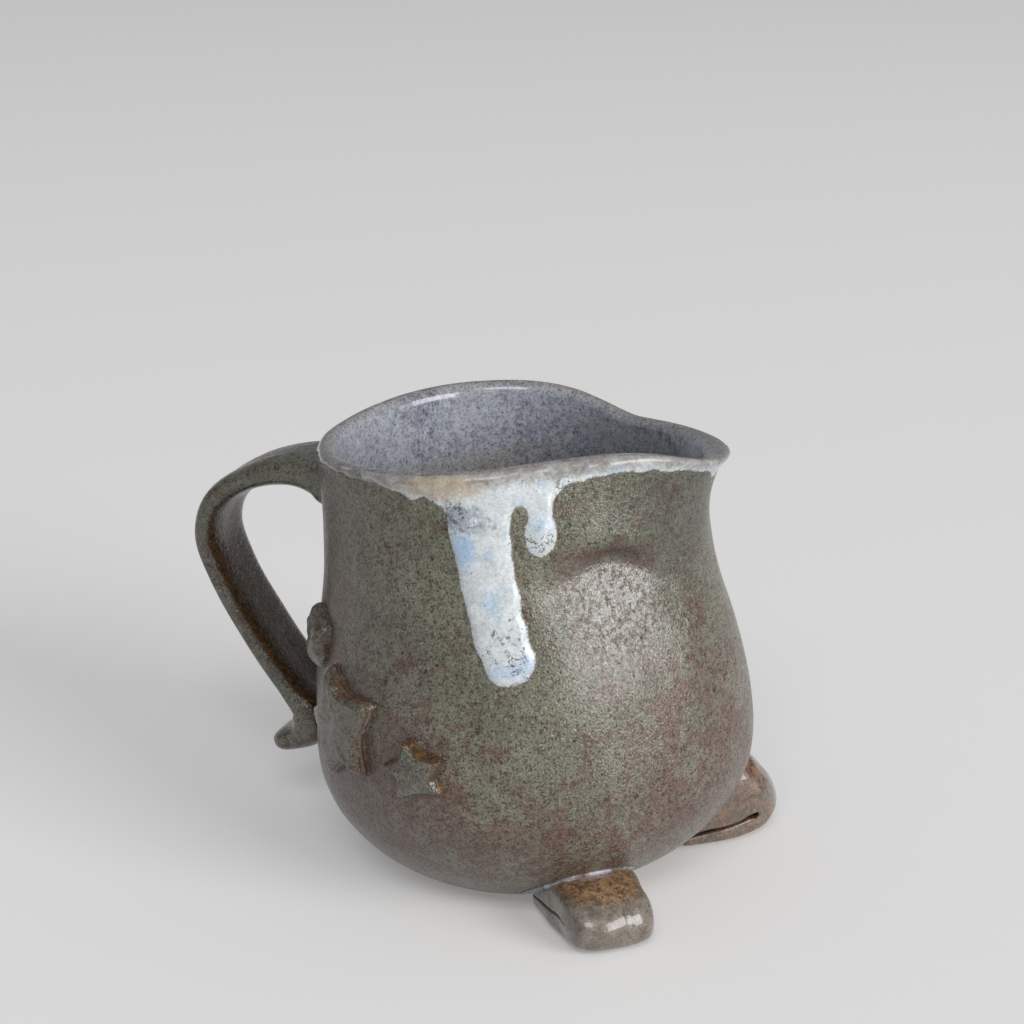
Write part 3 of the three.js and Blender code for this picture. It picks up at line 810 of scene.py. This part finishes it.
def overflow(glaze):
    """The glaze that ran over the rim: a closed patch whose face dives into the wall at its edge."""
    first, last = OVERFLOW_ANGLES
    across, drop = np.meshgrid(
        np.arange(first * RIM_DEGREE, last * RIM_DEGREE, OVERFLOW_STEP),
        np.arange(*OVERFLOW_DROPS, OVERFLOW_STEP),
        indexing="ij",
    )
    depth = overflow_depth(across, drop)
    from_crest = drop + (CREST_ALONG - RIM_ALONG)
    inside_it = np.minimum(depth, from_crest * 0.55)
    flat = np.stack([across.ravel(), drop.ravel()], 1)
    body = smooth(2, 9, drop) * 0.55 + 0.45
    lift = np.where(
        inside_it > 0,
        RUN_THICKNESS * body * (1 - np.exp(-np.maximum(inside_it, 0) / 1.1)),
        inside_it * 0.9,
    )
    lift = lift + 0.07 * waver(flat, 3.0, 23).reshape(drop.shape) * (inside_it > 0.4)
    lift = lift + 0.45 * smooth(0.2, 0.6, inside_it) * smooth(3.5, 0, from_crest - 1.2)
    kept = inside_it > -0.9
    cells = kept[:-1, :-1] & kept[1:, :-1] & kept[1:, 1:] & kept[:-1, 1:]
    angle = across / RIM_DEGREE
    face = on_skin(angle, RIM_ALONG - drop, np.maximum(lift, -0.6))
    back = on_skin(angle, RIM_ALONG - drop, np.full(drop.shape, -1.0))
    index = np.arange(drop.size).reshape(drop.shape)
    quads = np.stack([index[:-1, :-1], index[1:, :-1], index[1:, 1:], index[:-1, 1:]], 2)[cells]
    used = np.unique(quads)
    new = np.full(drop.size, -1)
    new[used] = np.arange(len(used))
    quads = new[quads]
    total = len(used)
    edges = np.concatenate([quads[:, [k, (k + 1) % 4]] for k in range(4)])
    key = np.sort(edges, 1) @ np.array([total, 1])
    order, counts = np.unique(key, return_counts=True)
    rim = edges[np.isin(key, order[counts == 1])]
    walls = np.stack([rim[:, 1], rim[:, 0], rim[:, 0] + total, rim[:, 1] + total], 1)
    faces = np.concatenate([quads, quads[:, ::-1] + total, walls]).tolist()
    points = stand(np.concatenate([face[used], back[used]]))
    angle, drop, depth = (a.ravel()[used] for a in (angle, drop, depth))
    marks = {"depth": depth, "drop": drop}
    for mark, listed in OVERFLOW_SPOTS.items():
        marks[mark] = spots(listed, angle, drop)
    marks = {mark: np.tile(values, 2) for mark, values in marks.items()}
    return make_piece("glaze_overflow_runs", points, faces, glaze, ("glaze_overflow",), marks)


def handle(glaze):
    """The pulled strap: a flare at the root, finger grooves along its back, the tail left kicked out."""
    neck = radius_at(HANDLE_TOP)
    belly = radius_at(HANDLE_BOTTOM)
    fall = HANDLE_TOP - HANDLE_BOTTOM
    loop = lambda share, down: (-neck - HANDLE_REACH * share, HANDLE_TOP - fall * down)
    low = lambda out, down: (-belly - out, HANDLE_BOTTOM - down)
    line = (
        loop(-0.09, 0), loop(0.29, -0.035), loop(0.65, 0.005), loop(0.91, 0.1), loop(1, 0.23),
        loop(0.94, 0.4), loop(0.74, 0.65), low(HANDLE_PRESS - 1.5, -6), low(HANDLE_PRESS / 2, 0),
        low(HANDLE_PRESS * 0.7, TAIL_DROP * 0.55), low(TAIL_KICK, TAIL_DROP),
    )
    tip = 0.955
    tip_turn = np.linspace(0.1, 1, 14) * math.pi / 2
    t = np.concatenate([np.linspace(0, tip, 150), tip + (1 - tip) * np.sin(tip_turn)])
    middle = through(line, t)
    ahead = unit(through(line, np.minimum(t + 0.002, 1)) - through(line, np.maximum(t - 0.002, 0)))
    inward = np.stack([-ahead[:, 1], ahead[:, 0]], 1)
    inward *= -np.sign(inward[0, 1])
    tail = np.clip((t - tip) / (1 - tip), 0, 1)
    round_off = np.sqrt(np.maximum(1 - tail**2, 0.0004))
    off_wall = np.maximum((t * 3.8 - 0.09) * HANDLE_REACH, 0)
    flare = np.exp(-off_wall / 1.7)
    width = HANDLE_WIDTH + 7 * np.exp(-t / 0.07) + 3.2 * flare - 2.5 * smooth(0.86, 0.97, t)
    thickness = (
        HANDLE_THICKNESS + (HANDLE_ROOT - HANDLE_THICKNESS) * np.exp(-t / 0.075)
        + (HANDLE_PRESS - HANDLE_THICKNESS) * bell(t - 0.82, 0.09) + 1.5 * flare
    )
    around = 72
    turn = turns(around)
    across, deep = squared(turn, np.where((np.cos(turn) < -1e-9) & (np.sin(turn) > 1e-9), 0.85, 0.62))
    groove = bell(across - 0.42, 0.13) + bell(across + 0.3, 0.12) + 0.6 * bell(across - 0.05, 0.09)
    groove = groove * smooth(-0.2, -0.9, np.sin(turn))
    hollow = bell(across, 0.55) * smooth(0.2, 0.9, np.sin(turn))
    plain = smooth(0.05, 0.2, t) * smooth(0.92, 0.8, t)
    wide = width[:, None] / 2 * across * round_off[:, None]
    thick = thickness[:, None] / 2 * deep * round_off[:, None]
    thick += plain[:, None] * (0.42 * groove - 0.5 * hollow)
    place = middle[:, None, :] + inward[:, None, :] * thick[..., None]
    rings = np.stack([place[..., 0], wide, place[..., 1]], 2)
    flat = rings.reshape(-1, 3)
    core = np.repeat(np.stack([middle[:, 0], 0 * t, middle[:, 1]], 1), around, 0)
    flat = flat + unit(flat - core) * (0.16 * waver(flat, 9, 31))[:, None]
    stood = stand(flat).reshape(rings.shape)
    degrees = np.degrees(turn)
    ridge = 1.1 * bell(degrees - 128, 30) + 0.8 * bell(degrees - 48, 25)
    edge = ridge[None] * (0.15 + 0.95 * smooth(0.2, 0.4, t) * smooth(0.92, 0.75, t))[:, None]
    # Painted shade on the strap's inner face towards its lower end, where it faces the pot
    dim = 0.45 * smooth(0.3, 0.95, np.sin(turn))[None] * smooth(0.3, 0.75, t)[:, None]
    rust = (0.15 + 0.9 * smooth(-0.1, 0.7, np.sin(turn)))[None] * (0.3 + 0.7 * smooth(0.2, 0.5, t))[:, None]
    return ring_piece(
        "pulled_handle_strap", stood, glaze, "glazed_clay", ("pulled_handle",), rust=rust, edge=edge, dim=dim,
    )


def star(name, node, place, points, glaze, softness, rounding, ridged, amber_share, rust):
    """A star cut from a slab and pressed on: crisp towards the rim, smoothed down into the wall below."""
    at, height = place
    count = 240
    size = max(reach for _, reach in points)
    corners = []
    for k, (way, reach) in enumerate(points):
        after, far = points[(k + 1) % len(points)]
        after += 360 if after < way else 0
        corners += [(way, reach), ((way + after) / 2, 0.56 * (reach + far) / 2)]
    corners = np.array(corners + corners[:1])
    ways = np.radians(corners[:, 0])
    outline = np.stack([np.sin(ways), np.cos(ways)], 1) * corners[:, 1:]
    steps = np.concatenate([[0], np.cumsum(np.hypot(*np.diff(outline, axis=0).T))])
    even = np.linspace(0, steps[-1], count, endpoint=False)
    outline = np.stack([np.interp(even, steps, outline[:, k]) for k in range(2)], 1)
    soft = bell(np.arange(-30, 31) * steps[-1] / count, softness)
    soft /= soft.sum()
    outline = sum(w * np.roll(outline, k - 30, 0) for k, w in enumerate(soft))
    outline *= size / np.hypot(*outline.T).max()
    along = np.roll(outline, -1, 0) - np.roll(outline, 1, 0)
    normal = unit(np.stack([along[:, 1], -along[:, 0]], 1))
    normal *= np.sign((normal * outline).sum())
    crisp = smooth(-0.7, 0.5, normal @ np.array([0.55, 0.83]))
    radius = radius_at(height)
    base = along_at(height)
    under = ((-0.3, -0.5), (-0.25, -0.12))
    shares = np.linspace(0.1, 1, 16)
    over = [(1.05 * rounding * share**2.6 + ridged * abs(math.sin(share * 9)), share) for share in shares]
    rings = []
    edges = []
    rust_and_crease_shade = []
    for inset, share in (*under, *over):
        reach = np.where(inset > 0, inset * (1.5 - 0.5 * crisp), inset)
        rings.append((outline * (1 - reach / size)[:, None], share * STAR_THICKNESS))
        edges.append(amber_share * (0.25 + 0.75 * crisp) * bell(max(share - 0.75, 0), 0.3))
        # Rust is strongest at the star's foot, where it also stands for painted shade in the crease against
        # the wall
        rust_and_crease_shade.append(rust * (0.5 + bell(share, 0.45)))
    inner = rings[-1][0]
    for shrink in (0.86, 0.68, 0.46, 0.22, 0.05):
        rings.append((inner * shrink, STAR_THICKNESS * (0.97 + 0.03 * shrink)))
        edges.append(0.4 * amber_share * bell(1 - shrink, 0.25) * crisp)
        rust_and_crease_shade.append(0.4 * rust)
    placed = []
    for spread, lift in rings:
        wobble = (0.2 * waver(spread, 4.5, 41) + 0.1 * waver(spread, 1.7, 42)) * (lift > 0.8)
        placed.append(on_skin(at + np.degrees(spread[:, 0] / radius), base + spread[:, 1], lift + wobble))
    placed = np.array(placed)
    stood = stand(placed.reshape(-1, 3)).reshape(placed.shape)
    rust_and_crease_shade = np.array(rust_and_crease_shade)[:, None]
    return ring_piece(name, stood, glaze, "amber_glaze", (node,), rust=rust_and_crease_shade, edge=np.array(edges))


def foot(name, node, heading, aside, half, blunt, outer, inner, knuckle, glaze):
    """A tongue of clay folded under itself: a crown off the pot, a round nose, a lower layer on the table."""
    stations, around = 96, 96
    t = np.linspace(0, 1, stations)
    outer = through(outer, t)
    inner = through(inner, t)
    middle = (outer + inner) / 2
    depth = (outer - inner) / 2
    tip = 0.96
    ends = np.sqrt(np.clip(1 - np.clip((t - tip) / (1 - tip), 0, 1) ** 2, 0.002, 1))
    turn = turns(around)
    across, deep = squared(turn, np.where(np.sin(turn) < -1e-9, 0.13, 0.7))
    place = middle[:, None] + depth[:, None] * (deep[None] * ends[:, None])[..., None]
    rounding = np.clip((place[..., 0] - FOOT_ROUND_FROM) / blunt, 0, 0.95)
    width = half * np.sqrt(1 - rounding**2) * ends[:, None]
    local = np.stack([place[..., 0], width * across - aside, place[..., 1]], 2).reshape(-1, 3)
    core = np.repeat(np.stack([middle[:, 0], 0 * t - aside, middle[:, 1]], 1), around, 0)
    away = unit(local - core)
    lift = 0.3 * waver(local, 6.5, 51 + int(half)) * smooth(0.1, 3, local[:, 2])
    groove = 0.35 * bell(across - 0.26, 0.13) * smooth(0.2, 0.7, deep)
    lift -= np.tile(groove, stations) * smooth(3, 6, local[:, 2])
    reach, height = knuckle
    near = bell(np.hypot(local[:, 0] - reach, local[:, 2] - height), 3.2)
    lift += 0.9 * near * np.tile(smooth(-0.5, -0.9, across), stations)
    local += away * lift[:, None]
    local[:, 2] = np.maximum(local[:, 2], 0)
    top = outer[:, 1].max()
    crown = smooth(top * 0.68, top * 0.96, local[:, 2]).reshape(stations, around)
    # The fold's inner face, along the slit, which the glaze darkens as painted shade
    fold = bell(deep + 1, 0.06)[None] * np.ones((stations, 1))
    a = math.radians(heading)
    x = local[:, 0] * math.cos(a) - local[:, 1] * math.sin(a)
    y = local[:, 0] * math.sin(a) + local[:, 1] * math.cos(a)
    rings = (np.stack([x, y, local[:, 2]], 1) + CENTRE_SHIFT).reshape(stations, around, 3)
    return ring_piece(name, rings, glaze, "amber_glaze", (node,), crown=crown, fold=fold)


def joint_bead(name, line, glaze):
    """A line of glaze pooled where a foot's crown meets the pot."""
    count, around = 60, 20
    share = np.linspace(0, 1, count)
    angle, height = through(line, share).T
    along = along_at(height)
    middle = stand(on_skin(angle, along, 0.1))
    side = unit(stand(on_skin(angle, along, 1.2)) - middle)
    over = np.cross(unit(np.gradient(middle, axis=0)), side)
    size = 0.68 * np.sqrt(np.maximum(1 - (2 * share - 1) ** 4, 0.01)) * (1 + 0.1 * np.sin(share * 17))
    turn = turns(around)
    rings = middle[:, None] + size[:, None, None] * (
        side[:, None] * np.cos(turn)[None, :, None] + 1.4 * over[:, None] * np.sin(turn)[None, :, None]
    )
    return ring_piece(name, rings, glaze, "pale_glaze")


def set_up(holder, right, up, back, at):
    """Puts a lamp or the camera in the scene, at a place and turned to three directions."""
    bpy.context.scene.collection.objects.link(holder)
    turned = [[*row, place] for row, place in zip(np.stack([right, up, back], 1), at)]
    holder.matrix_world = Matrix(turned + [[0, 0, 0, 1]])


def light(name, at, size, power, tone):
    """A soft rectangular lamp that shines at the jug."""
    lamp = bpy.data.lights.new(name, "AREA")
    lamp.shape = "RECTANGLE"
    lamp.size, lamp.size_y = size
    lamp.energy = power
    lamp.color = tone
    back = np.array(at) - LAMP_AIM
    back /= np.linalg.norm(back)
    right = np.cross((0, 0, 1), back)
    right /= np.linalg.norm(right)
    set_up(bpy.data.objects.new(name, lamp), right, np.cross(back, right), back, at)


def studio():
    """Pale floor, soft window light from the right, pale surroundings."""
    scene = bpy.context.scene
    scene.view_settings.view_transform = "Standard"
    mesh = bpy.data.meshes.new("floor")
    corners = [(x * PAPER_REACH, y * PAPER_REACH, 0) for x, y in ((-1, -1), (1, -1), (1, 1), (-1, 1))]
    mesh.from_pydata(corners, [], [(0, 1, 2, 3)])
    floor = bpy.data.objects.new("floor", mesh)
    scene.collection.objects.link(floor)
    paper = Glaze("pale_paper")
    straight = paper.node("ShaderNodeLightPath", out="Is Camera Ray")
    rays = straight.socket.node.outputs
    mirrored = Reading(paper, rays["Is Glossy Ray"]).most(Reading(paper, rays["Is Transmission Ray"]))
    seen = straight.most(mirrored)
    glow = paper.blend(seen, NO_GLOW, PAPER_GLOW)
    tone = paper.blend(seen, PAPER_BOUNCE, PAPER_SEEN)
    mesh.materials.append(paper.finish(
        base_color=tone, roughness=0.85, emission_color=glow, emission_strength=1.0,
    ))
    world = bpy.data.worlds.new("pale_room")
    world.use_nodes = True
    sky = world.node_tree.nodes["Background"]
    sky.inputs["Color"].default_value = SKY_TONE
    sky.inputs["Strength"].default_value = SKY_STRENGTH
    scene.world = world
    light("window", *WINDOW)
    light("room", *ROOM)


def photograph():
    """The camera, where the picture was taken from."""
    lens = bpy.data.cameras.new("camera")
    lens.sensor_width = SENSOR
    lens.lens = SENSOR * FOCAL / PICTURE
    lens.clip_start = 0.02
    camera = bpy.data.objects.new("camera", lens)
    up = np.cross(CAMERA_RIGHT, CAMERA_AHEAD)
    set_up(camera, CAMERA_RIGHT, up, -CAMERA_AHEAD, (CAMERA_AT + CENTRE_SHIFT) * MM)
    bpy.context.scene.camera = camera


photograph()
studio()
clay_glaze = stoneware("stoneware_glaze")
handle_glaze = stoneware("handle_glaze", thin=0.01, dark=0.78, wet=0.12)
star_glaze = stoneware("star_glaze", thin=0.0, dark=0.85, wet=0.18)
thrown_wall(clay_glaze)
liner(liner_coat())
overflow(overflow_coat())
handle(handle_glaze)
star(
    "front_star_sprig", "front_star", FRONT_STAR, FRONT_POINTS, star_glaze,
    softness=1.5, rounding=1.9, ridged=0.08, amber_share=0.85, rust=0.0,
)
star(
    "large_star_sprig", "large_star", LARGE_STAR, LARGE_POINTS, star_glaze,
    softness=1.8, rounding=2.2, ridged=0.4, amber_share=0.55, rust=1.5,
)
star(
    "rear_star_sprig", "rear_star", REAR_STAR, REAR_POINTS, handle_glaze,
    softness=4.5, rounding=2.4, ridged=0.0, amber_share=0.3, rust=0.6,
)
foot(
    "right_foot_fold", "right_foot", RIGHT_FOOT_HEADING, RIGHT_FOOT_ASIDE, RIGHT_FOOT_HALF, RIGHT_FOOT_ROUND,
    RIGHT_FOOT_OUTER, RIGHT_FOOT_INNER, RIGHT_FOOT_KNUCKLE,
    foot_glaze("right_foot_glaze", amber_share=0.0, light_amber=FOOT_AMBER, dark_amber=FOOT_BROWN),
)
foot(
    "left_foot_fold", "left_foot", LEFT_FOOT_HEADING, LEFT_FOOT_ASIDE, LEFT_FOOT_HALF, LEFT_FOOT_ROUND,
    LEFT_FOOT_OUTER, LEFT_FOOT_INNER, LEFT_FOOT_KNUCKLE,
    foot_glaze("left_foot_glaze", amber_share=0.6, light_amber=FOOT_RUSSET, dark_amber=FOOT_MAROON),
)
bead = bead_glaze()
joint_bead("right_foot_bead", RIGHT_JOINT, bead)
joint_bead("left_foot_bead", LEFT_JOINT, bead)
